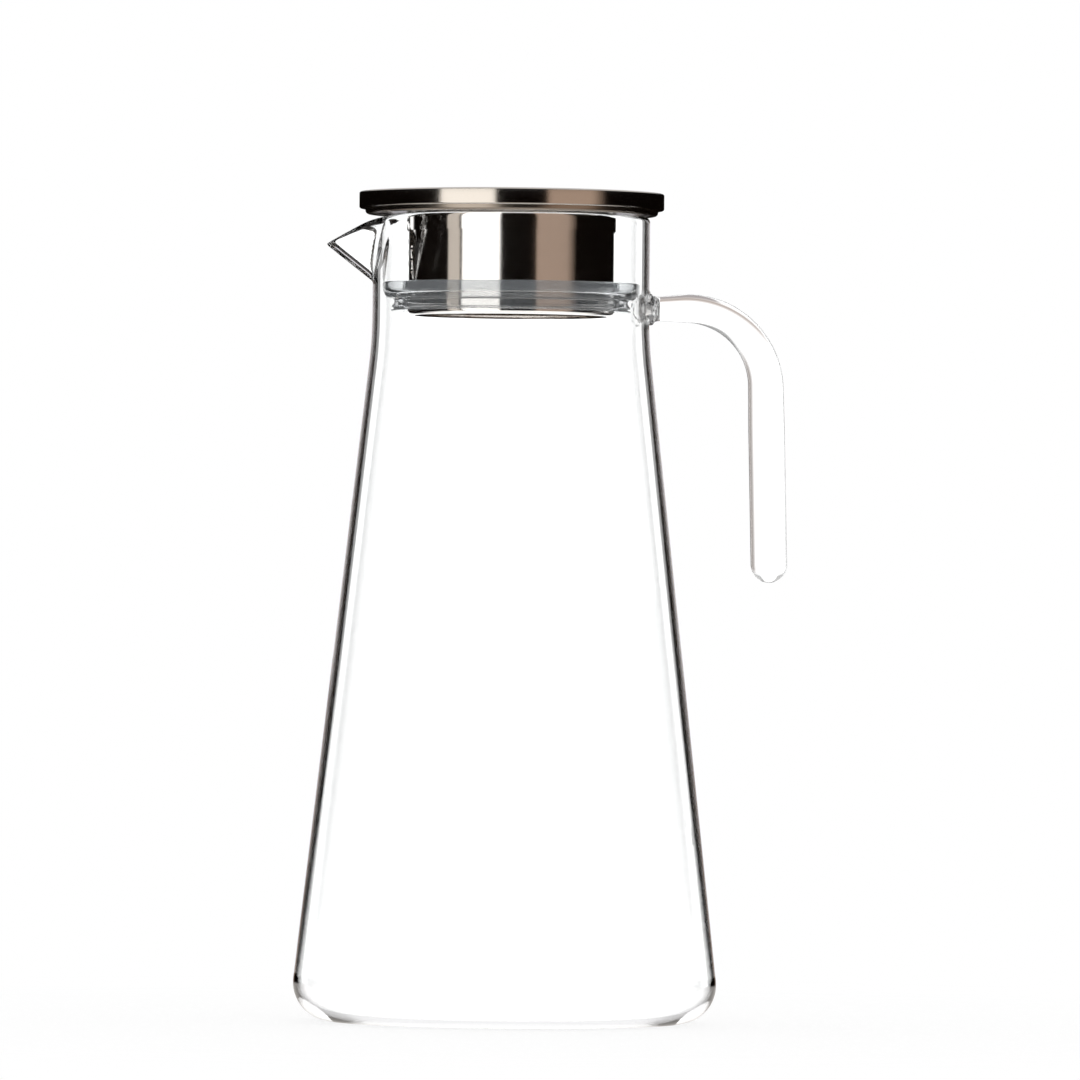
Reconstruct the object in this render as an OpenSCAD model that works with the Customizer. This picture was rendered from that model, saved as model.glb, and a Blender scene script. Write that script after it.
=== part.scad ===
// Tapered glass pitcher with a pulled spout, an open hook handle and a push-in steel strainer lid.
// Millimetres, +Z up. The origin is the centre of the base, the spout points to -X and the handle to +X.

/* [Glass body] */
// Height of the rim above the base
body_h = 251.6; // [220:0.1:300]
// Widest diameter, just above the base corner
base_d = 132.2; // [115:0.1:150]
// Outer radius of the base corner
base_corner_r = 12.5; // [6:0.1:18]
// Outer diameter of the straight neck
neck_d = 86.6; // [80:0.1:96]
// Height of the straight neck below the rim
neck_h = 38.2; // [34:0.1:50]
// Radius that blends the neck into the tapered wall
shoulder_r = 120; // [20:1:150]
// Thickness of the blown wall at the neck
neck_wall = 2.8; // [2:0.1:3.2]
// Thickness of the wall just above the base, where the blown glass thins
base_wall = 1.2; // [0.8:0.1:2.5]
// Thickness of the base
floor_t = 3.6; // [2.5:0.1:8]

/* [Spout] */
// Distance of the lip's tip from the axis
spout_reach = 57.7; // [54:0.1:64]
// Angle at which the keel under the spout rises
keel_angle = 39; // [34:0.1:46]
// Radius of the keel
keel_r = 4.5; // [3.5:0.1:6]
// Angle between a side of the spout and its middle plane
side_angle = 42.5; // [36:0.1:48]
// Angle at which the lip falls towards its tip
lip_angle = 24.3; // [18:0.1:30]
// Distance from the axis at which the rim starts to fall
lip_start = 38; // [36:0.1:40]
// Thickness of the spout's wall
spout_wall = 2.2; // [1.6:0.1:2.8]

/* [Handle] */
// Height of the middle of the arm where it leaves the neck
arm_z = 223.2; // [221:0.1:230]
// Diameter of the arm where it leaves the neck
arm_d = 7; // [6:0.1:10]
// Diameter that the flared foot would reach, were it not sunk in the neck
foot_d = 14; // [11:0.1:16]
// Diameter of the rod through the bend
bend_d = 9.2; // [8:0.1:12]
// Radius of the bend, at the middle of the rod
bend_r = 25; // [18:0.1:30]
// Distance of the grip from the axis at its top, at the middle of the rod
grip_reach = 80.3; // [76:0.1:90]
// Diameter of the grip
grip_d = 10.9; // [9:0.1:13]
// Tilt of the whole hook, which swings the lower end of the grip outwards
hook_tilt = 1.8; // [0:0.1:6]
// Height of the rounded lower end above the base
grip_end_z = 138; // [120:0.1:160]

/* [Lid] */
// Gap between the rim of the glass and the lid
lid_gap = 0.5; // [0.3:0.1:1]
// Thickness of the sheet steel
sheet = 0.5; // [0.4:0.05:0.8]
// How far the cap reaches past the neck
cap_overhang = 4.35; // [3:0.05:7]
// Height of the cap, from its rolled edge to its top
cap_h = 4.7; // [4:0.1:9]
// Radius of the cap's top edge
cap_edge_r = 0.9; // [0.85:0.05:2]
// Radius of the cap's rolled lower edge
cap_roll_r = 1; // [0.8:0.05:1.4]
// How far the pan's wall stands inside the edge of the cap
pan_inset = 1.9; // [1.7:0.05:4]
// How far the pan shows below the cap
pan_show = 2.35; // [1.2:0.05:3]
// Height of the pan's outer wall
pan_wall_h = 5; // [4:0.1:5.5]
// Inner radius of the pan's bends
pan_bend_r = 0.6; // [0.3:0.1:1]
// Outer radius of the bend between the pan and its collar
collar_bend_r = 1.6; // [0.8:0.1:2.5]
// Depth of the collar below the pan
collar_h = 5.3; // [3.5:0.1:7]

/* [Strainer] */
// Room between the strainer cup and the neck, which the drink pours through
pour_room = 8.2; // [6.5:0.1:11]
// Depth of the cup below the pan
cup_depth = 31.6; // [29:0.1:38]
// Height of the cup's closed top above the underside of the pan
cup_top_rise = 2.5; // [1.5:0.1:4]
// Radius of the cup's closed top edge
cup_edge_r = 1.5; // [0.8:0.1:2.5]
// Radius of the cup's turned-in rim
cup_rim_r = 1.3; // [0.8:0.05:2]
// Width of the turned-in rim
cup_rim_w = 2.2; // [2.1:0.1:4]
// Diameter of a strainer hole
hole_d = 2; // [1:0.1:2.6]
// Angle between the columns of holes
hole_step = 12; // [8:0.5:16]
// Columns of holes, facing the spout
hole_columns = 4; // [2:1:8]
// Holes in a column
hole_rows = 3; // [1:1:4]
// Distance between the holes in a column
hole_pitch = 3.4; // [2.8:0.1:4]
// Height of the lowest holes above the seal
hole_rise = 3.6; // [2:0.1:5]

/* [Seal] */
// Height of the seal
seal_h = 8.9; // [7.5:0.1:12]
// Height of the seal above the rim of the cup
seal_rise = 1.3; // [1:0.1:3]
// Gap between the seal's lip and the neck
lip_gap = 0.25; // [0.1:0.05:0.4]
// Running gap between the seal and the cup
bore_gap = 0.05; // [0.02:0.01:0.1]
// Thickness of the band that hugs the cup
band_t = 1.6; // [1:0.1:2]
// Outer radius of the bowl under the upper lip
bowl_r = 4.3; // [3.5:0.1:5]
// Thickness of the upper lip
lip_t = 1.6; // [1:0.1:2.2]
// How far the lower skirt stands out from the cup
skirt_out = 5.1; // [4.2:0.1:6]
// How far the waist between the lips stands out from the cup
waist_out = 3.4; // [2.5:0.1:4]
// Height of the skirt's free edge above the bottom of the seal
skirt_edge_z = 1.2; // [0.9:0.1:2]
// Thickness of the thin flange under the skirt
flange_t = 0.3; // [0.2:0.05:0.6]
// Depth of the notch between the flange and the skirt
notch_depth = 1.1; // [0.5:0.1:2]

/* [Hidden] */
$fn = 128;
// Gap between two fitted pieces of steel
fit_gap = 0.05;
// How far a cut reaches past what it cuts
over = 1;
// How far the handle's foot is sunk past the round of the neck
weld_bite = 0.3;
// How far an arc overlaps the straight run that it meets
tuck = 0.02;

glass_tint = [0.85, 0.92, 0.93, 0.35];
steel_tint = [0.72, 0.70, 0.67];
silicone_tint = [0.78, 0.80, 0.82, 0.8];

base_r = base_d / 2;
neck_r = neck_d / 2;
neck_bore_r = neck_r - neck_wall;
neck_z = body_h - neck_h;
rim_r = neck_wall / 2;

lip_z = body_h - (spout_reach - lip_start) * tan(lip_angle);
spout_lead = spout_reach - neck_r;
spout_len = (spout_reach - neck_bore_r / 2) / cos(keel_angle);
spout_h = (body_h - lip_z) * cos(keel_angle) + (spout_reach - lip_start) * sin(keel_angle);

bend_x = grip_reach - bend_r * cos(hook_tilt);
arm_len = (bend_x - bend_r * sin(hook_tilt) - neck_r) / cos(hook_tilt);
bend_z = arm_z + arm_len * sin(hook_tilt) - bend_r * cos(hook_tilt);
grip_len = (bend_z + bend_r * sin(hook_tilt) - grip_end_z - grip_d / 2) / cos(hook_tilt);
flare_r = (foot_d - arm_d) / 2;
foot_sink = neck_r - sqrt(pow(neck_r, 2) - pow(foot_d / 2, 2)) + weld_bite;

pan_z = body_h + lid_gap;
cap_z = pan_z + pan_show;
cap_r = neck_r + cap_overhang;
pan_r = cap_r - pan_inset;
cup_r = neck_bore_r - pour_room;
cup_z = pan_z - cup_depth;
collar_r = cup_r + fit_gap + sheet;

seal_z = cup_z + seal_rise;
seal_top = seal_z + seal_h;
bore_r = cup_r + bore_gap;
lip_r = neck_bore_r - lip_gap;
bowl_c = [lip_r - bowl_r, seal_top - lip_t / 2];
waist_z = bowl_c.y - bowl_r;
skirt_r = bore_r + skirt_out;
hole_z = seal_top + hole_rise;

// Point where a straight wall from the neck corner p touches the base corner of radius r about c.
function touch_point(c, r, p) =
    let (d = p - c, a = atan2(d.y, d.x) - acos(r / norm(d)))
    c + r * [cos(a), sin(a)];

// Half section of the body, filled to the axis: a neck, a tapered wall and a round base corner.
// Arcs overlap the straight runs by the tuck, so that they meet in a clean crossing.
module body_section(neck, corner, corner_z, shoulder, top) {
    c = [base_r - base_corner_r, corner_z];
    p = [neck, neck_z];
    t = touch_point(c, corner - tuck, p);
    taper = (t - p) / norm(t - p);
    run = shoulder * tan(atan2(taper.x, -taper.y) / 2);
    polygon([[0, c.y - corner], [c.x, c.y - corner], c, t, p, [neck, top], [0, top]]);
    translate(c) circle(corner);
    difference() {
        polygon([p + [0, run], p - [base_wall / 2, 0], p + run * taper]);
        translate([neck + shoulder, neck_z + run]) circle(shoulder + tuck, $fn = 720);
    }
}

// Half section of the glass wall, with a round fire-polished rim.
module wall_section() {
    inner_corner_r = base_corner_r - base_wall;
    difference() {
        body_section(neck_r, base_corner_r, base_corner_r, shoulder_r, body_h - rim_r);
        body_section(neck_bore_r, inner_corner_r, floor_t + inner_corner_r, shoulder_r, body_h);
    }
    translate([neck_r - rim_r, body_h - rim_r]) circle(rim_r, $fn = 48);
}

// Section of the spout, square to its keel: two straight sides on a round keel.
module spout_section(inset, height) {
    r = keel_r - inset;
    foot = [0, keel_r] + (r - tuck) * [cos(side_angle), -sin(side_angle)];
    top = [foot.x + (height - foot.y) * tan(side_angle), height];
    polygon([foot, top, [-top.x, top.y], [-foot.x, foot.y]]);
    translate([0, keel_r]) circle(r);
}

// Trough that the spout is pulled to, along the keel from beyond the tip to inside the neck.
module spout_trough(inset, height) {
    translate([-spout_reach, 0, lip_z])
        rotate([0, keel_angle, 0])
            rotate([90, 0, 90])
                translate([0, 0, -spout_lead])
                    linear_extrude(height = spout_lead + spout_len) spout_section(inset, height);
}

// Everything above the falling lip.
module above_lip() {
    reach = 2 * spout_reach;
    translate([-lip_start, 0, body_h])
        rotate([0, -lip_angle, 0])
            translate([-reach, -neck_d, 0])
                cube([reach, 2 * neck_d, neck_h]);
}

// Blown body: one revolved wall, with the spout pulled out of the neck and its lip cut to fall.
module glass_body() {
    color(glass_tint)
    difference() {
        union() {
            rotate_extrude() wall_section();
            difference() {
                intersection() {
                    spout_trough(0, spout_h);
                    translate([-2 * neck_d, -neck_d, neck_z])
                        cube([2 * neck_d, 2 * neck_d, neck_h - rim_r]);
                }
                translate([0, 0, neck_z - over])
                    cylinder(h = neck_h + 2 * over, r = neck_bore_r);
            }
        }
        spout_trough(spout_wall, spout_h + neck_wall);
        above_lip();
    }
}

// Flared foot at the end of the arm: it widens in a curve until it is sunk in the round of the neck.
module handle_foot() {
    rotate_extrude()
    translate([0, foot_sink - flare_r])
    difference() {
        square([foot_d / 2, flare_r + neck_wall]);
        translate([foot_d / 2, 0]) circle(flare_r, $fn = 48);
    }
}

// Solid rod with the middle of its bend at the origin: the arm runs to -X, and the grip hangs to -Y.
module hook() {
    rotate_extrude(angle = 90) translate([bend_r, 0]) circle(d = bend_d);
    translate([0, bend_r, 0]) rotate([0, -90, 0]) {
        cylinder(h = arm_len, d1 = bend_d, d2 = arm_d);
        translate([0, 0, arm_len]) handle_foot();
    }
    translate([bend_r, 0, 0]) rotate([90, 0, 0]) {
        cylinder(h = grip_len / 2, d1 = bend_d, d2 = grip_d);
        translate([0, 0, grip_len / 2]) cylinder(h = grip_len / 2, d = grip_d);
        translate([0, 0, grip_len]) sphere(d = grip_d);
    }
}

// Handle: the hook, stood upright and seated on the neck.
module glass_handle() {
    color(glass_tint)
    difference() {
        translate([bend_x, 0, bend_z]) rotate([90, 0, 0]) rotate(hook_tilt) hook();
        translate([0, 0, arm_z - foot_d]) cylinder(h = 2 * foot_d, r = neck_r);
    }
}

// Rectangle from the axis to r, with its two outer corners rounded.
module round_slab(r, z0, z1, low_r, high_r) {
    translate([0, z0 + low_r]) square([r, z1 - high_r - z0 - low_r]);
    translate([0, z0]) square([r - low_r, z1 - z0]);
    translate([0, z1 - high_r]) square([r - high_r, high_r]);
    translate([r - low_r, z0 + low_r]) circle(low_r, $fn = 48);
    translate([r - high_r, z1 - high_r]) circle(high_r, $fn = 48);
}

// Half section of a drawn steel shell, closed on top, with a turned-in lower edge round a mouth.
module drawn_section(r, z0, z1, low_r, high_r, mouth_r) {
    difference() {
        round_slab(r, z0, z1, low_r, high_r);
        round_slab(r - sheet, z0 + sheet, z1 - sheet, low_r - sheet, high_r - sheet);
        translate([0, z0 - over]) square([mouth_r, sheet + 2 * over]);
    }
}

// Quarter of a bent sheet about c, in the quadrant that side points to.
module bend_section(c, inner_r, side) {
    size = inner_r + sheet;
    intersection() {
        translate(c) difference() {
            circle(size, $fn = 48);
            circle(inner_r, $fn = 48);
        }
        translate([side.x > 0 ? c.x : c.x - size, side.y > 0 ? c.y : c.y - size]) square(size);
    }
}

// Top of the lid: a shallow drawn disc with a rolled lower edge that closes on the pan.
module lid_cap() {
    color(steel_tint)
    rotate_extrude()
        drawn_section(cap_r, cap_z, cap_z + cap_h, cap_roll_r, cap_edge_r, pan_r + fit_gap);
}

// Pan under the cap: an upturned wall, a flat ring and a collar drawn down round the cup.
module lid_pan() {
    wall_bend = [pan_r - sheet - pan_bend_r, pan_z + sheet + pan_bend_r];
    collar_bend = [collar_r + collar_bend_r, pan_z - collar_bend_r];
    color(steel_tint)
    rotate_extrude() {
        translate([pan_r - sheet, wall_bend.y]) square([sheet, pan_z + pan_wall_h - wall_bend.y]);
        bend_section(wall_bend, pan_bend_r, [1, -1]);
        translate([collar_bend.x, pan_z]) square([wall_bend.x - collar_bend.x, sheet]);
        bend_section(collar_bend, collar_bend_r, [-1, 1]);
        translate([collar_r - sheet, pan_z - collar_h]) square([sheet, collar_h - collar_bend_r]);
    }
}

// Staggered columns of holes through the side of the cup that faces the spout.
module strainer_holes() {
    for (column = [0 : hole_columns - 1], row = [0 : hole_rows - 1]) {
        place = column - (hole_columns - 1) / 2;
        inner_column = floor(abs(place)) % 2 == 0;
        rise = (row + (inner_column ? 2 / 3 : 0)) * hole_pitch;
        rotate(180 + place * hole_step)
            translate([cup_r - cup_rim_w, 0, hole_z + rise])
                rotate([0, 90, 0]) cylinder(h = 2 * cup_rim_w, d = hole_d, $fn = 32);
    }
}

// Strainer cup: drawn upside down, open at the bottom and pierced towards the spout.
module strainer_cup() {
    color(steel_tint)
    difference() {
        rotate_extrude()
            drawn_section(cup_r, cup_z, pan_z + cup_top_rise, cup_rim_r, cup_edge_r, cup_r - cup_rim_w);
        strainer_holes();
    }
}

// Half section of the seal: a band, a bowl-shaped upper lip with a groove behind it, and a lower skirt.
module seal_section() {
    translate([bore_r, seal_z]) square([band_t, seal_h]);
    difference() {
        union() {
            intersection() {
                translate(bowl_c) circle(bowl_r);
                translate([bowl_c.x, waist_z]) square(bowl_r);
            }
            translate([bore_r, waist_z]) square([bowl_c.x - bore_r, bowl_r]);
        }
        translate(bowl_c) circle(bowl_r - lip_t);
    }
    translate([lip_r - lip_t / 2, bowl_c.y]) circle(lip_t / 2, $fn = 48);
    polygon([
        [bore_r, seal_z],
        [skirt_r, seal_z],
        [skirt_r, seal_z + flange_t],
        [skirt_r - notch_depth, seal_z + (flange_t + skirt_edge_z) / 2],
        [skirt_r, seal_z + skirt_edge_z],
        [bore_r + waist_out, waist_z],
        [bore_r, waist_z],
    ]);
}

// Silicone seal between the cup and the neck.
module seal_ring() {
    color(silicone_tint)
    rotate_extrude() seal_section();
}

glass_body();
glass_handle();
lid_cap();
lid_pan();
strainer_cup();
seal_ring();
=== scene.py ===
# %% [markdown]
# # A glass pitcher with a steel strainer lid
# The real object is a tapered pitcher of clear blown glass. A spout is pulled out of its neck, a bent
# glass rod is fused on as a handle, and a steel lid with a pierced cup and a silicone seal is pushed into
# the neck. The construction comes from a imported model, which is loaded first and never moved. This lesson
# models each piece again with the roundings and blends that hot glass, pressed steel and moulded silicone
# have, and gives it its finish.

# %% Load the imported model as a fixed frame
import math

import bmesh
import bpy
from mathutils import Matrix, Vector, noise


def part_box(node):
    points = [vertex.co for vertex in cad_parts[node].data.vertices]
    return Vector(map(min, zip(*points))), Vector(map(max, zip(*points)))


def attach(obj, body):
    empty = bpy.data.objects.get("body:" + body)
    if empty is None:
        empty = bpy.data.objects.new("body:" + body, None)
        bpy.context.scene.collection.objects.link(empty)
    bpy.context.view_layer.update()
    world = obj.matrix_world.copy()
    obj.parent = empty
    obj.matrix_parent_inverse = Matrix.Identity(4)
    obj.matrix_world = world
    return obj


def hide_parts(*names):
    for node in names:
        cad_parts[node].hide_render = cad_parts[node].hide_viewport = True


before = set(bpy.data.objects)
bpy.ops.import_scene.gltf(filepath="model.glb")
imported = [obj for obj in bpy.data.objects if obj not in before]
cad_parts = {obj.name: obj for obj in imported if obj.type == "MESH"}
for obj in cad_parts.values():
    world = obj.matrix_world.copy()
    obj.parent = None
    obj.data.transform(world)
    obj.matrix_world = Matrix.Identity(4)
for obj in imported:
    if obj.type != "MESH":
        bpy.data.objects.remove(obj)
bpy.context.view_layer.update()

MM = 0.001


def node_size(node):
    """Radius to the far side on +X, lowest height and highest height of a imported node, in millimetres."""
    low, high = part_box(node)
    return high.x / MM, low.z / MM, high.z / MM


# %% [markdown]
# ## Turned outlines
# Five of the six pieces are round: the glass is blown into a turning mould, the steel is pressed and spun,
# and the seal is moulded. Such a piece is an outline turned once round the Z axis. The outline could be a
# curve with a Screw modifier, but a wire of a few corners is easier to read: each corner is bevelled to its
# own radius, and a spin sweeps the wire. All modelling is done in millimetres, and the finished mesh is
# scaled to metres.

# %% Outline and spin
least_segments = 4
least_per_radian = 5
per_radian_at_1mm = 6
pole_gap = 1e-4


def round_corner(bm, vert, radius):
    """Rounds one corner of a wire to an arc, with more segments for a wider turn or a larger radius."""
    one, two = (edge.other_vert(vert).co - vert.co for edge in vert.link_edges)
    turn = math.pi - one.angle(two)
    per_radian = max(least_per_radian, per_radian_at_1mm * math.sqrt(radius))
    segments = max(least_segments, round(turn * per_radian))
    bmesh.ops.bevel(bm, geom=[vert], offset=radius * math.tan(turn / 2), segments=segments, profile=0.5,
                    affect="VERTICES", material=-1)


def outline(bm, corners, closed):
    """Draws a wire in the XZ plane through corners of (x, z) or (x, z, radius)."""
    verts = [bm.verts.new((corner[0], 0, corner[1])) for corner in corners]
    ends = verts[1:] + verts[:1] if closed else verts[1:]
    for start, end in zip(verts, ends):
        bm.edges.new((start, end))
    for vert, corner in zip(verts, corners):
        if len(corner) == 3:
            round_corner(bm, vert, corner[2])


def spin(bm, steps):
    """Turns a wire once round the Z axis, closes the poles and points the faces outwards."""
    wire = bm.verts[:] + bm.edges[:]
    bmesh.ops.spin(bm, geom=wire, axis=(0, 0, 1), angle=math.tau, steps=steps, use_merge=True)
    bmesh.ops.remove_doubles(bm, verts=bm.verts, dist=pole_gap)
    bmesh.ops.recalc_face_normals(bm, faces=bm.faces)


# %% From a bmesh to a piece
steel_sharp = 40
glass_sharp = 60


def smooth_shading(mesh, sharp_angle):
    """Shades a mesh smoothly, apart from edges sharper than an angle in degrees."""
    mesh.shade_smooth()
    mesh.set_sharp_from_angle(angle=math.radians(sharp_angle))


def add_object(name, bm):
    """Puts a bmesh into the scene as an object of its own."""
    mesh = bpy.data.meshes.new(name)
    bm.to_mesh(mesh)
    bm.free()
    made = bpy.data.objects.new(name, mesh)
    bpy.context.scene.collection.objects.link(made)
    return made


def make_piece(name, bm, sharp_angle=steel_sharp):
    """Scales a finished bmesh to metres and makes a smoothly shaded object of it."""
    bmesh.ops.scale(bm, vec=(MM, MM, MM), verts=bm.verts)
    piece = add_object(name, bm)
    smooth_shading(piece.data, sharp_angle)
    print(name, "faces:", len(piece.data.polygons))
    return piece


# %% [markdown]
# ## The blown body
# The wall of the real body is thick at the neck and thin near the base, where the glass was blown widest,
# and the floor is thickest in its middle. A Solidify modifier would give an even wall, and the edges of
# clear glass show how thick it is. So the outline goes round both sides of the wall: from the middle of the
# base up the outside, over the fire-polished rim and down the inside to the floor. The straight wall lies
# against the round base corner, so the place where it would meet the table is worked out first.

# %% Sizes of the glass wall
_, _, body_h = node_size("glass_body")
base_r = -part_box("glass_body")[0].x / MM
base_corner_r = 12.5
floor_t = 3.6
floor_edge_t = 1.5
base_wall = 0.9
middle_wall = 2.5
middle_z = 110
middle_bend_r = 900
neck_r = 43.3
neck_wall = 2.8
neck_h = 38.2
neck_z = body_h - neck_h
bore_r = neck_r - neck_wall
shoulder_r = 120
rim_flat = 0.014
rim_r = neck_wall / 2 - rim_flat


def wall_foot():
    """Where the straight outer wall, laid against the round base corner, would meet the table."""
    centre = Vector((base_r - base_corner_r, base_corner_r))
    slope = Vector((neck_r, neck_z)) - centre
    angle = math.atan2(slope.y, slope.x) - math.acos(base_corner_r / slope.length)
    touch = centre + base_corner_r * Vector((math.cos(angle), math.sin(angle)))
    run = touch.y / (neck_z - touch.y)
    return touch.x + run * (touch.x - neck_r)


def outer_r(z):
    """Radius of the straight outer wall at a height."""
    return outer_foot + (neck_r - outer_foot) * z / neck_z


outer_foot = wall_foot()
inner_foot = outer_r(floor_edge_t) - base_wall
inner_corner_r = base_corner_r - base_wall
middle_r = outer_r(middle_z) - middle_wall
print("wall foot outside and inside in mm:", round(outer_foot, 2), round(inner_foot, 2))

# %% Outline of the glass wall
neck_cell = 1
wall_cell = 6
floor_cell = 8
below_z = -1
above_floor_z = floor_t + 1
above_corner_z = floor_t + 12
above_shoulder_z = neck_z + 8
body_steps = 240


def divide(bm, longest, low, high):
    """Splits the edges of a wire between two heights until none is longer than a limit."""
    for edge in bm.edges[:]:
        middle = (edge.verts[0].co.z + edge.verts[1].co.z) / 2
        cuts = math.ceil(edge.calc_length() / longest) - 1
        if low < middle < high and cuts > 0:
            bmesh.ops.subdivide_edges(bm, edges=[edge], cuts=cuts)


body = bmesh.new()
outline(body, [
    (0, 0),
    (outer_foot, 0, base_corner_r),
    (neck_r, neck_z, shoulder_r),
    (neck_r, body_h, rim_r),
    (bore_r, body_h, rim_r),
    (bore_r, neck_z, shoulder_r),
    (middle_r, middle_z, middle_bend_r),
    (inner_foot, floor_edge_t, inner_corner_r),
    (0, floor_t),
], closed=False)
divide(body, neck_cell, above_shoulder_z, body_h)
divide(body, wall_cell, above_corner_z, above_shoulder_z)
divide(body, floor_cell, below_z, above_floor_z)
spin(body, body_steps)
print("turned body faces:", len(body.faces))

# %% [markdown]
# ## The pulled spout
# The glass worker heats one side of the neck and draws it outwards over a tool, so the wall runs smoothly
# into a trough with a round keel, and the lip falls towards the tip. Bridging loops of a separate spout to
# the neck would leave a seam. Here the turned neck itself is pulled: each column of vertices near the spout
# moves out to the trough, and its top sinks to the falling lip. The columns are first drawn together around
# the spout to catch its round keel.

# %% Shape of the trough
keel_angle = math.radians(38)
keel_point = Vector((51.1, 237.15))
keel_r = 4.5
side_angle = math.radians(42.5)
trough_r = 3.5
trough_angle = math.radians(34)
spout_wall = 2.1
spout_sector = math.radians(75)
neck_blend = 0.6
bore_blend = 1.5
halvings = 40


def keel_rise(y, radius, side):
    """How far a trough has risen above its keel beside its middle: a round keel, then flat sides."""
    if abs(y) < radius * math.cos(side):
        return radius - math.sqrt(radius ** 2 - y ** 2)
    return abs(y) / math.tan(side) - radius * (1 / math.sin(side) - 1)


def trough_reach(angle, z, inset, radius, side):
    """Distance from the axis to a trough at an angle from the spout's middle, at a height."""
    near, far = 0, 2 * keel_point.x
    lift = (z - keel_point.y) * math.cos(keel_angle) - inset
    for _ in range(halvings):
        r = (near + far) / 2
        over_keel = (keel_point.x - r * math.cos(angle)) * math.sin(keel_angle) + lift
        if over_keel > keel_rise(r * math.sin(angle), radius, side):
            near = r
        else:
            far = r
    return near


def soft_max(a, b, width):
    """The larger of two numbers, rounded over where they are within a width of each other."""
    return max(a, b) + max(width - abs(a - b), 0) ** 2 / (4 * width)


def wall_radii(angle, z):
    """Inner and outer radius of the neck with its spout."""
    if abs(angle) > spout_sector:
        return bore_r, neck_r
    inside = trough_reach(angle, z, spout_wall, trough_r, trough_angle)
    outside = trough_reach(angle, z, 0, keel_r, side_angle)
    return soft_max(bore_r, inside, bore_blend), soft_max(neck_r, outside, neck_blend)


print("keel reach at its middle height in mm:", round(wall_radii(0, keel_point.y)[1], 2))

# %% Pull the spout out of the neck
spout_foot_z = 222
lip_start = 32.4
lip_ease = 13.5
lip_slope = 0.485
gather = 0.6


def ease(t):
    """Rises smoothly from 0 to 1 while t does."""
    t = min(max(t, 0), 1)
    return t * t * (3 - 2 * t)


def late_rise(past, width):
    """A number that stays 0 below 0, bends up over a width and then rises half a width late."""
    past = max(past, 0)
    return past ** 2 / (2 * width) if past < width else past - width / 2


def rim_drop(angle):
    """How far the rim sinks to the falling lip in the column of vertices at an angle."""
    drop = 0
    for _ in range(halvings):
        reach = sum(wall_radii(angle, body_h - drop)) / 2 * math.cos(angle)
        drop = (drop + lip_slope * late_rise(reach - lip_start, lip_ease)) / 2
    return drop


def pull_spout(bm):
    """Gathers the columns of the neck around the spout and pulls them out to it."""
    drops = {}
    for vert in bm.verts:
        x, y, z = vert.co
        r = math.hypot(x, y)
        angle = math.atan2(y, -x)
        angle -= gather * math.sin(angle)
        if z > spout_foot_z:
            key = round(angle, 4)
            if key not in drops:
                drops[key] = rim_drop(angle)
            share = (r - bore_r) / neck_wall
            z -= drops[key] * ease((z - spout_foot_z) / (body_h - neck_wall - spout_foot_z))
            inner, outer = wall_radii(angle, z)
            r = inner + share * (outer - inner)
        vert.co = (-r * math.cos(angle), r * math.sin(angle), z)


pull_spout(body)
bmesh.ops.recalc_face_normals(body, faces=body.faces)
blown_body = make_piece("blown_body", body, glass_sharp)
spout_tip = min(v.co.x for v in blown_body.data.vertices if v.co.z > spout_foot_z * MM)
print("spout reach in mm:", round(-spout_tip / MM, 2))

# %% [markdown]
# ## The rod handle
# The handle is a solid glass rod, drawn a little thinner where it was heated and stuck to the neck, bent
# round once and cut free below, where the flame rounded its end. A curve with a bevel could make it, but
# the thickness changes all the way. So one ring is extruded along the hook, and each new ring is carried to
# its place by a matrix. The foot was pressed on while soft: it is spread round the neck in lumps of noise.

# %% Sizes of the hook
_, grip_end, _ = node_size("glass_handle")
quarter = math.radians(90)
arm_z = 223.2
hook_tilt = math.radians(1.5)
bend_r = 25
grip_reach = 79.9
root_d = 7.1
arm_d = 8.8
bend_d = 11.1
grip_d = 11.4
foot_d = 12.5
foot_len = 3.2
foot_sunk = 0.9
bend_x = grip_reach - bend_r * math.cos(hook_tilt)
arm_len = (bend_x - bend_r * math.sin(hook_tilt) - neck_r) / math.cos(hook_tilt)
bend_z = arm_z + arm_len * math.sin(hook_tilt) - bend_r * math.cos(hook_tilt)
grip_len = (bend_z + bend_r * math.sin(hook_tilt) - grip_end - grip_d / 2) / math.cos(hook_tilt)
print("arm and grip lengths in mm:", round(arm_len, 1), round(grip_len, 1))

# %% Stations along the hook
arm_steps = 23
bend_steps = 32
grip_steps = 24
end_steps = 12
swell_share = 0.25
least_ring = 1e-5


def between(a, b, t):
    """The number at a share t of the way from a to b."""
    return a + (b - a) * t


def station(across, up, heading, diameter):
    """The matrix that carries a unit ring to a place on the hook, given from the middle of its bend."""
    upright = Matrix.Translation((bend_x, 0, bend_z)) @ Matrix.Rotation(-hook_tilt, 4, "Y")
    place = Matrix.Translation((across, 0, up)) @ Matrix.Rotation(heading, 4, "Y")
    return upright @ place @ Matrix.Scale(diameter / 2, 4)


def arm_stations():
    """Stations from the flared foot, sunk in the neck, along the arm."""
    for i in range(arm_steps + 1):
        t = (i / arm_steps) ** 2
        along = t * (arm_len + foot_sunk)
        flare = max(1 - along / foot_len, 0) ** 2
        d = between(root_d, arm_d, t) + flare * (foot_d - root_d)
        yield station(along - arm_len - foot_sunk, bend_r, quarter, d)


def bend_stations():
    """Stations round the bend."""
    for i in range(1, bend_steps + 1):
        turn = quarter * i / bend_steps
        d = between(arm_d, bend_d, i / bend_steps)
        yield station(bend_r * math.sin(turn), bend_r * math.cos(turn), quarter + turn, d)


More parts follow.
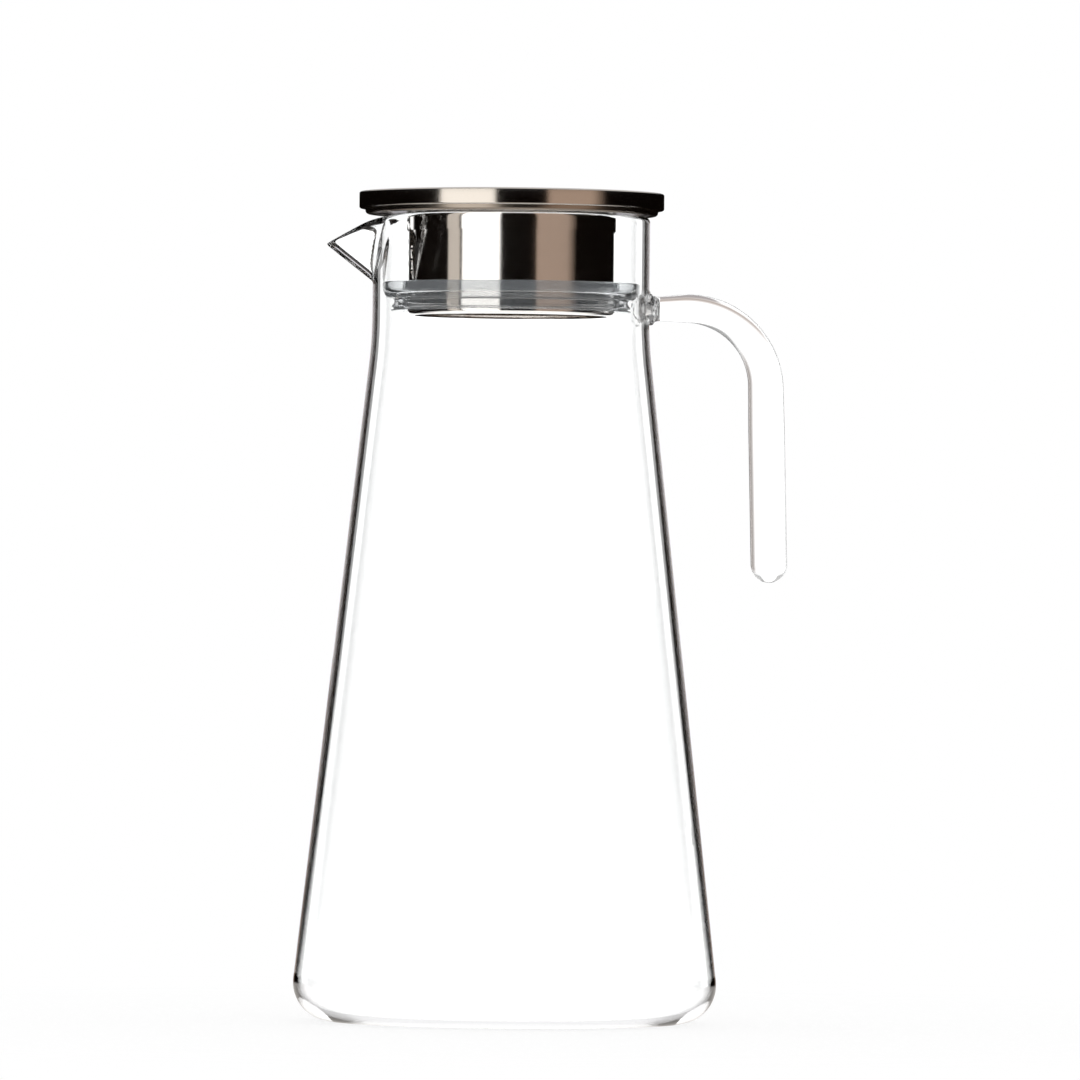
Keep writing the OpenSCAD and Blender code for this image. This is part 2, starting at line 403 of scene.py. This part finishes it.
def grip_stations():
    """Stations down the grip and over its round end."""
    for i in range(1, grip_steps + 1):
        d = between(bend_d, grip_d, ease(i / grip_steps / swell_share))
        yield station(bend_r, -grip_len * i / grip_steps, 2 * quarter, d)
    for i in range(1, end_steps + 1):
        turn = quarter * i / end_steps
        drop = grip_len + grip_d / 2 * math.sin(turn)
        yield station(bend_r, -drop, 2 * quarter, grip_d * max(math.cos(turn), least_ring))


hook = [*arm_stations(), *bend_stations(), *grip_stations()]
print("stations along the hook:", len(hook))

# %% Draw the rod
rod_sides = 48
tip_gap = 1e-3
foot_lump = 1.4
lump_scale = 0.6
foot_spread = 1.2


def draw_rod(places):
    """Extrudes a ring from place to place and closes both ends."""
    bm = bmesh.new()
    bmesh.ops.create_circle(bm, cap_ends=True, segments=rod_sides, radius=1, matrix=places[0])
    ring = bm.edges[:]
    for old, new in zip(places, places[1:]):
        grown = bmesh.ops.extrude_edge_only(bm, edges=ring)["geom"]
        verts = [part for part in grown if isinstance(part, bmesh.types.BMVert)]
        ring = [part for part in grown if isinstance(part, bmesh.types.BMEdge) and part.is_boundary]
        bmesh.ops.transform(bm, matrix=new @ old.inverted(), verts=verts)
    bmesh.ops.remove_doubles(bm, verts=bm.verts, dist=tip_gap)
    bmesh.ops.recalc_face_normals(bm, faces=bm.faces)
    return bm


def crumple_foot(bm):
    """Spreads the foot of the rod round the neck, in lumps."""
    bm.normal_update()
    for vert in bm.verts:
        near = 1 - ease((vert.co.x - neck_r) / foot_len)
        vert.co += vert.normal * near * foot_lump * noise.noise(vert.co * lump_scale)
        vert.co.y *= 1 + foot_spread * near
        vert.co.x -= near * (neck_r - math.sqrt(neck_r ** 2 - vert.co.y ** 2))


rod = draw_rod(hook)
crumple_foot(rod)
rod_handle = make_piece("rod_handle", rod, glass_sharp)

# %% [markdown]
# ## The steel lid
# The lid is three pressings from half-millimetre sheet: a cap whose lower edge is rolled in, a pan that
# closes the cap from below and has a collar, and an upside-down cup in that collar that strains the drink.
# Solidify could give the sheet its thickness, but the folded edges show, so each outline goes round both
# sides of the sheet.

# %% Sizes of the lid
sheet = 0.5
fit_gap = 0.05
cap_r, cap_foot, cap_top = node_size("lid_cap")
pan_r, collar_z, pan_top = node_size("lid_pan")
cup_r, cup_z, cup_top = node_size("strainer_cup")
cap_overhang = 0.6
cap_z = cap_foot - cap_overhang
cap_edge_r = 0.5
cap_roll_r = 0.6
cap_crown = 0.15
cap_edge_z = cap_top - cap_crown
cap_mouth = pan_r + fit_gap
pan_h = 5
pan_z = pan_top - pan_h
pan_bend_r = 0.6
collar_r = cup_r + fit_gap + sheet
collar_bend_r = 1.6
print("cap radius and height in mm:", round(cap_r, 2), round(cap_top - cap_z, 2))

# %% Cap and pan
lid_steps = 240


def turned(corners, steps, closed):
    """A turned piece from the corners of its half section."""
    bm = bmesh.new()
    outline(bm, corners, closed)
    spin(bm, steps)
    return bm


cap_disc = make_piece("cap_disc", turned([
    (0, cap_top),
    (cap_r / 2, cap_top - cap_crown / 4),
    (cap_r, cap_edge_z, cap_edge_r),
    (cap_r, cap_z, cap_roll_r),
    (cap_mouth, cap_z),
    (cap_mouth, cap_z + sheet),
    (cap_r - sheet, cap_z + sheet, cap_roll_r - sheet),
    (cap_r - sheet, cap_edge_z - sheet),
    (0, cap_top - sheet),
], lid_steps, closed=False))

pan_ring = make_piece("pan_ring", turned([
    (pan_r, pan_top),
    (pan_r, pan_z, pan_bend_r + sheet),
    (collar_r, pan_z, collar_bend_r),
    (collar_r, collar_z),
    (collar_r - sheet, collar_z),
    (collar_r - sheet, pan_z + sheet, collar_bend_r + sheet),
    (pan_r - sheet, pan_z + sheet, pan_bend_r),
    (pan_r - sheet, pan_top),
], lid_steps, closed=True))

# %% [markdown]
# ## The strainer cup
# The cup is drawn upside down, its lower rim is turned in, and small holes are punched in the side that
# faces the spout. Insetting faces would give square holes, so round punches are made as short cylinders and
# cut out with a Boolean modifier. Its result is kept as the mesh, and the punches are thrown away. The cup's
# number of steps keeps its lines beside the middles of the holes, because a cut exactly along an edge leaves
# folded slivers.

# %% Turn the cup
cup_edge_r = 1.5
cup_rim_r = 1.3
cup_rim_w = 2.2
cup_cell = 2
cup_steps = 164
_, seal_z, seal_top = node_size("seal_ring")

cup = bmesh.new()
outline(cup, [
    (0, cup_top),
    (cup_r, cup_top, cup_edge_r),
    (cup_r, cup_z, cup_rim_r),
    (cup_r - cup_rim_w, cup_z),
    (cup_r - cup_rim_w, cup_z + sheet),
    (cup_r - sheet, cup_z + sheet, cup_rim_r - sheet),
    (cup_r - sheet, cup_top - sheet, cup_edge_r - sheet),
    (0, cup_top - sheet),
], closed=False)
divide(cup, cup_cell, seal_top, collar_z)
spin(cup, cup_steps)
pierced_cup = make_piece("pierced_cup", cup)

# %% Punch the holes
hole_d = 2
hole_columns = 4
hole_step = math.radians(12)
hole_rows = 3
hole_pitch = 3.4
hole_z = seal_top + 3.6
hole_stagger = 2 / 3
punch_sides = 24
punch_len = 2


def punches():
    """A short cylinder for each hole. The two middle columns stand higher."""
    bm = bmesh.new()
    lay = Matrix.Rotation(math.pi / 2, 4, "Y")
    for column in range(hole_columns):
        place = column - (hole_columns - 1) / 2
        face = Matrix.Rotation(math.pi + place * hole_step, 4, "Z")
        stagger = hole_stagger if math.floor(abs(place)) % 2 == 0 else 0
        for row in range(hole_rows):
            up = Matrix.Translation((cup_r - sheet / 2, 0, hole_z + (row + stagger) * hole_pitch))
            bmesh.ops.create_cone(bm, cap_ends=True, segments=punch_sides, radius1=hole_d / 2,
                                  radius2=hole_d / 2, depth=punch_len, matrix=face @ up @ lay)
    return make_piece("punches", bm)


def cut_out(piece, cutter):
    """Cuts one object out of another for good and deletes the cutter."""
    cut = piece.modifiers.new("cut", "BOOLEAN")
    cut.object = cutter
    cut.solver = "EXACT"
    bpy.context.view_layer.update()
    done = piece.evaluated_get(bpy.context.evaluated_depsgraph_get())
    mesh = bpy.data.meshes.new_from_object(done)
    smooth_shading(mesh, steel_sharp)
    piece.modifiers.remove(cut)
    piece.data = mesh
    bpy.data.objects.remove(cutter)
    print(piece.name, "faces after the cut:", len(mesh.polygons))


cut_out(pierced_cup, punches())

# %% [markdown]
# ## The silicone seal
# The seal is moulded in one piece: a band that is stretched over the cup, a bowl-shaped upper lip that bends
# against the glass, and a lower skirt with a fine notch in its edge. Rings could be stacked and joined, but
# one closed outline, turned like the rest, has no joints in it.

# %% Seal ring
seal_steps = 200
seal_bore_r = cup_r + fit_gap
seal_edge_r = 0.3
band_t = 1.6
band_r = seal_bore_r + band_t
band_edge_r = 0.5
lip_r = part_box("seal_ring")[1].x / MM
lip_t = 1.6
lip_edge_r = 0.78
bowl_r = 4.3
bowl_z = seal_top - lip_t / 2 - bowl_r
waist_r = seal_bore_r + 3.4
waist_bend_r = 1
groove_z = bowl_z + lip_t
skirt_r = seal_bore_r + 5.1
skirt_z = seal_z + 1.2
flange_z = seal_z + 0.3
notch_r = skirt_r - 1.1

lip_seal = make_piece("lip_seal", turned([
    (seal_bore_r, seal_z),
    (skirt_r, seal_z),
    (skirt_r, flange_z),
    (notch_r, (flange_z + skirt_z) / 2),
    (skirt_r, skirt_z, seal_edge_r),
    (waist_r, bowl_z, waist_bend_r),
    (lip_r, bowl_z, bowl_r),
    (lip_r, seal_top, lip_edge_r),
    (lip_r - lip_t, seal_top, lip_edge_r),
    (lip_r - lip_t, groove_z, bowl_r - lip_t),
    (band_r, groove_z, waist_bend_r),
    (band_r, seal_top, band_edge_r),
    (seal_bore_r, seal_top, seal_edge_r),
], seal_steps, closed=True))

# %% [markdown]
# ## Node expressions
# A finish is a small web of nodes. Written node by node it is hard to follow, so one class wraps a socket:
# sums and products of wrapped sockets add Math nodes, and one method makes any other node from its settings
# and its inputs.


# %% A socket that can be reckoned with
class Shade:
    """A value in a node tree. Arithmetic with it adds Math nodes."""

    def __init__(self, tree, socket=None):
        self.tree = tree
        self.socket = socket

    def node(self, kind, settings=(), sockets=(), out=0):
        """Adds a node, sets it up, then fills or links its sockets, and returns one of its outputs."""
        made = self.tree.nodes.new("ShaderNode" + kind)
        for name, value in dict(settings).items():
            setattr(made, name, value)
        for name, value in dict(sockets).items():
            if isinstance(value, Shade):
                self.tree.links.new(value.socket, made.inputs[name])
            else:
                made.inputs[name].default_value = value
        return Shade(self.tree, made.outputs[out] if made.outputs else None)

    def math(self, operation, *values):
        """The result of a Math node."""
        return self.node("Math", {"operation": operation}, enumerate(values))

    def mix(self, factor, low, high):
        """A colour between two colours."""
        return self.node("Mix", {"data_type": "RGBA"}, {0: factor, 6: low, 7: high}, 2)

    def above(self, limit):
        """1 where this value is above a limit, else 0."""
        return self.math("GREATER_THAN", self, limit)

    def or_more(self, other):
        """The larger of two values."""
        return self.math("MAXIMUM", self, other)

    def step(self, low, high):
        """Rises smoothly from 0 to 1 while this value goes from low to high."""
        limits = {"Value": self, "From Min": low, "From Max": high}
        return self.node("MapRange", {"interpolation_type": "SMOOTHSTEP"}, limits)

    def part(self, axis):
        """One coordinate of this vector."""
        return self.node("SeparateXYZ", {}, {"Vector": self}, axis)

    def length(self):
        """The length of this vector."""
        return self.node("VectorMath", {"operation": "LENGTH"}, {0: self}, "Value")

    def __add__(self, other):
        return self.math("ADD", self, other)

    def __sub__(self, other):
        return self.math("SUBTRACT", self, other)

    def __rsub__(self, other):
        return self.math("SUBTRACT", other, self)

    def __mul__(self, other):
        return self.math("MULTIPLY", self, other)

    def __truediv__(self, other):
        return self.math("DIVIDE", self, other)

    def __pow__(self, other):
        return self.math("POWER", self, other)

    __radd__ = __add__
    __rmul__ = __mul__


def colour(red, green, blue):
    """An opaque colour."""
    return (red, green, blue, 1)


def new_finish(name):
    """An empty material and the start of its node web."""
    material = bpy.data.materials.new(name)
    material.use_nodes = True
    material.node_tree.nodes.clear()
    return material, Shade(material.node_tree)


def close_finish(material, web, surface):
    """Leads a surface to the material's output."""
    web.node("OutputMaterial", {}, {"Surface": surface})
    print("finish", material.name, "nodes:", len(material.node_tree.nodes))
    return material


# %% [markdown]
# ## Clear glass
# Blown glass is clear, but not dead even: the wall has faint waves from the mould and a touch of grey green
# where it is thick, and handling leaves soft smears. Transparency alone would show no edges, so refraction
# does the work. Waves and smears are noise on Object coordinates.

# %% Glass finish
thick_tint = colour(0.985, 0.99, 0.99)
thin_tint = colour(0.995, 0.997, 0.997)
smear_rough = 0.03


def glass_finish():
    """Refracting glass with faint waves and smears."""
    material, web = new_finish("clear_glass")
    place = web.node("TexCoord", out="Object")
    waves = web.node("TexNoise", {}, {"Vector": place, "Scale": 28, "Detail": 1})
    smears = web.node("TexNoise", {}, {"Vector": place, "Scale": 60, "Detail": 4})
    bump = web.node("Bump", {}, {"Strength": 0.02, "Distance": 0.001, "Height": waves})
    glass = web.node("BsdfPrincipled", {}, {
        "Base Color": web.mix(waves, thick_tint, thin_tint),
        "Roughness": smears.step(0.62, 0.9) * smear_rough,
        "IOR": 1.47,
        "Transmission Weight": 1,
        "Normal": bump,
    })
    return close_finish(material, web, glass)


clear_glass = glass_finish()

# %% [markdown]
# ## Steel
# The cup and the collar are bright drawn steel: almost a mirror, with fine rings from the spinning tool. The
# flat of the pan, hidden under the cap, is satin and rougher, and its darker tone is painted shade under the
# cap. The cap is brushed across its top. Image textures could hold such grains, but noise that is stretched
# along the brushing makes them at any size. It varies the tone, the roughness and a shallow bump.

# %% Steel finishes
ring_grain = (60, 60, 5000)
cross_grain = (60, 4000, 5000)
drawn_dark = colour(0.70, 0.67, 0.64)
drawn_pale = colour(0.80, 0.78, 0.76)
brushed_dark = colour(0.62, 0.58, 0.53)
brushed_pale = colour(0.72, 0.68, 0.64)
# A darker tone painted as shade on the pan under the cap.
satin_painted_shade_tone = colour(0.40, 0.35, 0.30)
satin_rough = 0.17
satin_shade_fade = 1
drawn_rough = 0.03
brushed_rough = 0.06


def steel_finish(name, stretch, dark, pale, rough, satin_shade_z=None):
    """Steel with a stretched grain between two tones, and above a height in millimetres if given, satin with a
    darker tone painted as shade.
    """
    material, web = new_finish(name)
    place = web.node("TexCoord", out="Object")
    along = web.node("Mapping", {}, {"Vector": place, "Scale": stretch})
    grain = web.node("TexNoise", {}, {"Vector": along, "Scale": 1, "Detail": 3})
    cloud = web.node("TexNoise", {}, {"Vector": place, "Scale": 40, "Detail": 3})
    bump = web.node("Bump", {}, {"Strength": 0.05, "Distance": 0.0002, "Height": grain})
    tone = web.mix(grain * 0.7 + cloud * 0.3, dark, pale)
    roughness = rough + 0.06 * grain + 0.04 * cloud
    if satin_shade_z is not None:
        # Above the height the steel is satin and rougher, and its tone is painted darker as shade.
        satin_and_shade = place.part("Z").step((satin_shade_z - satin_shade_fade) * MM, satin_shade_z * MM)
        tone = web.mix(satin_and_shade, tone, satin_painted_shade_tone)
        roughness = roughness + satin_rough * satin_and_shade
    steel = web.node("BsdfPrincipled", {}, {
        "Base Color": tone, "Metallic": 1, "Roughness": roughness, "Normal": bump,
    })
    return close_finish(material, web, steel)


drawn_steel = steel_finish("drawn_steel", ring_grain, drawn_dark, drawn_pale, drawn_rough)
# The pan is painted darker from its bend up, as shade under the cap.
painted_shade_satin_pan = steel_finish("painted_shade_satin_pan", ring_grain, drawn_dark, drawn_pale, drawn_rough, satin_shade_z=pan_z)
brushed_cap = steel_finish("brushed_cap", cross_grain, brushed_dark, brushed_pale, brushed_rough)

# %% [markdown]
# ## Silicone
# The seal is clear silicone with a milky veil: the steel behind it shows through, greyed. Rough transmission
# would blur the steel, and a matt shader would hide it. So two shaders are mixed: a clear one that bends
# light only a little, and a small share of a matt, milky one. A faint cloudiness varies both.

# %% Silicone finish
clear_dark = colour(0.95, 0.965, 0.975)
clear_pale = colour(0.97, 0.98, 0.985)
milk_dark = colour(0.48, 0.51, 0.54)
milk_pale = colour(0.56, 0.59, 0.62)
milk_rough = 0.6
milk_share = 0.07
milk_cloud = 0.04


def silicone_finish():
    """Clear silicone with a share of milky white."""
    material, web = new_finish("silicone")
    place = web.node("TexCoord", out="Object")
    cloud = web.node("TexNoise", {}, {"Vector": place, "Scale": 90, "Detail": 4})
    bump = web.node("Bump", {}, {"Strength": 0.01, "Distance": 0.0003, "Height": cloud})
    clear = web.node("BsdfPrincipled", {}, {
        "Base Color": web.mix(cloud, clear_dark, clear_pale),
        "Roughness": 0.02 + 0.04 * cloud,
        "IOR": 1.1,
        "Transmission Weight": 1,
        "Normal": bump,
    })
    milky = web.node("BsdfPrincipled", {}, {
        "Base Color": web.mix(cloud, milk_dark, milk_pale), "Roughness": milk_rough,
    })
    rubber = web.node("MixShader", {}, {0: milk_share + milk_cloud * cloud, 1: clear, 2: milky})
    return close_finish(material, web, rubber)


silicone = silicone_finish()

# %% [markdown]
# ## Put the pieces on the frame
# Each modelled piece stands for one imported node. Its row also gives the name of a slot for its
# finish.

# %% Ride, replace and dress
dressing = [
    (blown_body, "pitcher", "glass_body", "clear_glass", clear_glass),
    (rod_handle, "pitcher", "glass_handle", "clear_glass", clear_glass),
    (cap_disc, "lid", "lid_cap", "brushed_cap", brushed_cap),
    (pan_ring, "lid", "lid_pan", "drawn_steel", painted_shade_satin_pan),
    (pierced_cup, "lid", "strainer_cup", "drawn_steel", drawn_steel),
    (lip_seal, "seal", "seal_ring", "silicone", silicone),
]
for piece, carrier, node, slot, finish in dressing:
    piece.data.materials.clear()
    piece.data.materials.append(finish)
    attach(piece, carrier)
    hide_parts(node)
print("dressed:", [piece.name for piece, *_ in dressing])

# %% [markdown]
# ## The studio
# Clear glass and bright steel show only what stands around them, and one even world would leave both without
# a line. Lamps and real cards could be set up, but the glass would show the same room as the steel. Light
# Path counts how often a ray has crossed a glass surface and how often it has been mirrored. So the world
# can answer each kind of ray with surroundings of its own: a white sweep where glass is looked through, a
# dark room with a few panels for what the steel mirrors, and a dark line between light ones for what is
# mirrored inside a glass wall, along its edges. All else gets even white light.
#
# A ray that has gone in and out of one piece, such as the rod, has crossed two surfaces, and one that looks
# through the whole body has crossed four. A ray that is mirrored again and again runs along inside the
# glass. A ray that was mirrored sharply and has crossed nothing is a glint off the outside of the glass,
# because the steel is never quite smooth.

# %% Kinds of rays
piece_crossings = 2
guide_mirrors = 6


class Rays:
    """What has happened to a ray so far, as values of 1 or 0."""

    def __init__(self, web):
        crossings = web.node("LightPath", out="Transmission Depth")
        mirrors = web.node("LightPath", out="Glossy Depth")
        self.seen = web.node("LightPath", out="Is Camera Ray")
        self.through = crossings.above(0)
        self.once = self.through * (1 - crossings.above(piece_crossings))
        self.mirrored = mirrors.above(0)
        self.twice = mirrors.above(1)
        self.guided = mirrors.above(guide_mirrors)
        self.glint = self.mirrored * (1 - self.through) * web.node("LightPath", out="Is Singular Ray")


# %% Surroundings for each kind
behind = 90
plain_white = colour(1, 1, 1)
sweep_white = colour(1.6, 1.6, 1.6)
room_dark = colour(0.003, 0.002, 0.0015)
ceiling_grey = colour(0.75, 0.75, 0.76)
pale_panel = colour(0.82, 0.74, 0.66)
white_panel = colour(1.4, 1.35, 1.28)
white_panel_through = colour(2.2, 2.15, 2.1)
warm_panel = colour(0.51, 0.38, 0.30)
edge_brown = colour(0.30, 0.22, 0.17)
edge_light = colour(0.85, 0.85, 0.92)
side_grey = colour(0.5, 0.46, 0.44)
low_grey = colour(0.5, 0.42, 0.38)
high_grey = colour(0.45, 0.45, 0.45)

# Each card is an azimuth, half a width and a soft edge, in degrees.
pale_card = (204, 6.5, 2)
back_card = (behind, 18, 5)
white_card = (236, 20.5, 2)
warm_card = (321, 22, 3)
warm_gap = (358, 4, 22)
side_card = (351, 49, 25)
low_card = (behind, 30, 20)
high_gap = (behind, 12, 18)

# Each line is half a width and a soft edge, in degrees, and a colour.
edge_lines = [
    (41, 6, sweep_white),
    (31, 4, room_dark),
    (9, 7, edge_brown),
    (4, 6, edge_light),
]

# Each pair is where a change with height begins and ends, in the upward part of a direction or its square.
panel_end = (0.1, 0.25)
ceiling_start = (0.1, 0.5)
high_start = (0.3, 0.6)
low_start = (0.2, 0.5)
line_end = (0.03, 0.1)
side_end = (0.02, 0.3)


class Sky:
    """The direction in which a ray leaves, as seen from the middle of the studio."""

    def __init__(self, web):
        direction = web.node("TexCoord", out="Generated")
        self.x, self.y, self.up = (direction.part(axis) for axis in range(3))
        self.level = (self.x * self.x + self.y * self.y) ** 0.5

    def card(self, azimuth, half_width, soft):
        """1 in front of a standing card at an azimuth, in degrees, and 0 beside it."""
        turn = math.radians(azimuth)
        toward = (self.x * math.cos(turn) + self.y * math.sin(turn)) / self.level
        return toward.step(math.cos(math.radians(half_width + soft)), math.cos(math.radians(half_width)))

    def steep(self, low, high):
        """Rises from 0 to 1 as the direction tilts up or down, by the square of its upward part."""
        return (self.up * self.up).step(low, high)


def steel_room(web, sky, rays):
    """A dark room under a grey ceiling: a pale, a white and a warm panel, and the sweep at the back."""
    below_end = 1 - sky.up.step(*panel_end)
    room = web.mix(sky.up.step(*ceiling_start), room_dark, ceiling_grey)
    room = web.mix(sky.card(*pale_card) * rays.through, room, pale_panel)
    room = web.mix(sky.card(*back_card) * rays.through * (1 - rays.twice), room, sweep_white)
    white = web.mix(rays.through, white_panel, white_panel_through)
    room = web.mix(sky.card(*white_card) * below_end, room, white)
    warm = sky.card(*warm_card) * (1 - sky.card(*warm_gap))
    return web.mix(warm * below_end, room, warm_panel)


def wall_lines(web, sky):
    """Lines along the edges of a glass wall: white on the inner side, then dark, brown and light."""
    line = room_dark
    for half_width, soft, tone in edge_lines:
        line = web.mix(sky.card(behind, half_width, soft), line, tone)
    return web.mix(sky.steep(*line_end), line, room_dark)


def rod_sweep(web, sky):
    """The sweep behind a single piece of glass, with grey cards that draw the edges of the rod."""
    sweep = web.mix(sky.card(*side_card) * (1 - sky.steep(*side_end)), sweep_white, side_grey)
    sweep = web.mix(sky.card(*low_card) * (0 - sky.up).step(*low_start), sweep, low_grey)
    return web.mix(sky.up.step(*high_start) * (1 - sky.card(*high_gap)), sweep, high_grey)


# %% [markdown]
# The kinds are laid over each other, and a ray from the camera itself comes last. The world isn't sampled
# like a lamp, because its light depends on the kind of ray. A ray can run a long way inside the base before
# it comes out, so the limits on bounces are raised. With fewer bounces the base would be black.

# %% The world
most_bounces = 48
most_of_a_kind = 40


def build_world():
    """A world that answers each kind of ray with its own surroundings."""
    world = bpy.data.worlds.new("studio")
    world.use_nodes = True
    world.node_tree.nodes.clear()
    world.cycles.sampling_method = "NONE"
    web = Shade(world.node_tree)
    sky = Sky(web)
    rays = Rays(web)
    light = web.mix(rays.through, plain_white, web.mix(rays.once, sweep_white, rod_sweep(web, sky)))
    light = web.mix(rays.mirrored, light, steel_room(web, sky, rays))
    light = web.mix(rays.glint.or_more(rays.once * rays.mirrored), light, wall_lines(web, sky))
    light = web.mix(rays.guided * rays.once, light, sweep_white)
    light = web.mix(rays.seen, light, plain_white)
    web.node("OutputWorld", {}, {"Surface": web.node("Background", {}, {"Color": light})})
    print("world nodes:", len(world.node_tree.nodes))
    return world


scene = bpy.context.scene
scene.world = build_world()
scene.cycles.max_bounces = most_bounces
scene.cycles.glossy_bounces = most_of_a_kind
scene.cycles.transmission_bounces = most_of_a_kind

# %% [markdown]
# ## The floor
# The pitcher stands on a pale floor that runs into the sweep without an edge: a disc that fades out before
# its rim. A plain matt floor would be grey through the glass. So this one glows white where it is looked at,
# also through the glass, and a small share of it is matt paint, which takes the soft shadow. The steel
# mirrors it dimmer. Light mirrored inside the glass finds it pale near the base and dark farther out, and
# light that falls steeply through the rod finds a grey card on it, which draws the lower edge of the arm.

# %% Glow of the floor
floor_white = colour(1.01, 1.01, 1.01)
floor_dim = colour(0.6, 0.57, 0.54)
floor_near = colour(0.95, 0.95, 0.96)
near_r = 0.075
far_r = 0.1
card_grey = colour(0.5, 0.46, 0.46)
card_place = (0.06, 0.28, 0)
card_stretch = (1, 0.4, 0)
card_r = 0.05
card_soft_r = 0.08
steep_start = (0.45, 0.65)


def floor_glow(web, rays, place):
    """The colour in which the floor glows for each kind of ray."""
    off_card = web.node("VectorMath", {"operation": "SUBTRACT"}, {0: place, 1: card_place})
    off_card = web.node("VectorMath", {"operation": "MULTIPLY"}, {0: off_card, 1: card_stretch})
    on_card = 1 - off_card.length().step(card_r, card_soft_r)
    steep = web.node("NewGeometry", out="Incoming").part("Z").step(*steep_start)
    glow = web.mix(on_card * steep * rays.once * (1 - rays.mirrored), sweep_white, card_grey)
    wall_glow = web.mix(place.length().step(near_r, far_r), floor_near, room_dark)
    glow = web.mix(rays.once * rays.mirrored * (1 - rays.guided), glow, wall_glow)
    glow = web.mix(rays.mirrored * (1 - rays.through), glow, floor_dim)
    return web.mix(rays.seen, glow, floor_white)


# %% Floor
floor_r = 0.45
floor_sides = 96
floor_gap = 0.3
fade_from = 0.5 * floor_r
fade_to = 0.95 * floor_r
shadow_share = 0.15
paint_tone = colour(0.94, 0.94, 0.94)


def floor_finish():
    """Matt paint and a glow, shared out by kinds of rays, that fade out towards the rim."""
    material, web = new_finish("pale_floor")
    place = web.node("TexCoord", out="Object")
    rays = Rays(web)
    paint = web.node("BsdfDiffuse", {}, {"Color": paint_tone})
    glow = web.node("Emission", {}, {"Color": floor_glow(web, rays, place)})
    glowing = (rays.seen * (1 - shadow_share) + rays.through).or_more(rays.mirrored)
    lit = web.node("MixShader", {}, {0: glowing, 1: paint, 2: glow})
    clear = web.node("BsdfTransparent")
    faded = web.node("MixShader", {}, {0: place.length().step(fade_from, fade_to), 1: lit, 2: clear})
    return close_finish(material, web, faded)


disc = bmesh.new()
bmesh.ops.create_circle(disc, cap_ends=True, segments=floor_sides, radius=floor_r,
                        matrix=Matrix.Translation((0, 0, -floor_gap * MM)))
floor = add_object("floor", disc)
floor.data.materials.append(floor_finish())

# %% [markdown]
# ## The camera
# The photo was taken from afar at half the object's height, so a long lens stands more than three metres
# away. A short lens from nearby would bend the lid's edges into wider ellipses. The camera aims a little
# above and beside the middle and is rolled half a degree, as the object leans in the picture.

# %% Camera
camera_distance = 3.33
camera_height = 0.12656
aim = Vector((0.00978, 0, 0.1507))
roll = math.radians(0.54)
lens_mm = 355.2
sensor_mm = 36
view_end = 20

camera = bpy.data.objects.new("camera", bpy.data.cameras.new("camera"))
camera.data.lens = lens_mm
camera.data.sensor_width = sensor_mm
camera.data.clip_end = view_end
camera.location = (0, -camera_distance, camera_height)
gaze = (aim - camera.location).to_track_quat("-Z", "Y").to_matrix().to_4x4()
camera.rotation_euler = (gaze @ Matrix.Rotation(roll, 4, "Z")).to_euler()
scene.collection.objects.link(camera)
scene.camera = camera
scene.view_settings.view_transform = "Standard"
print("camera at", [round(c, 3) for c in camera.location])
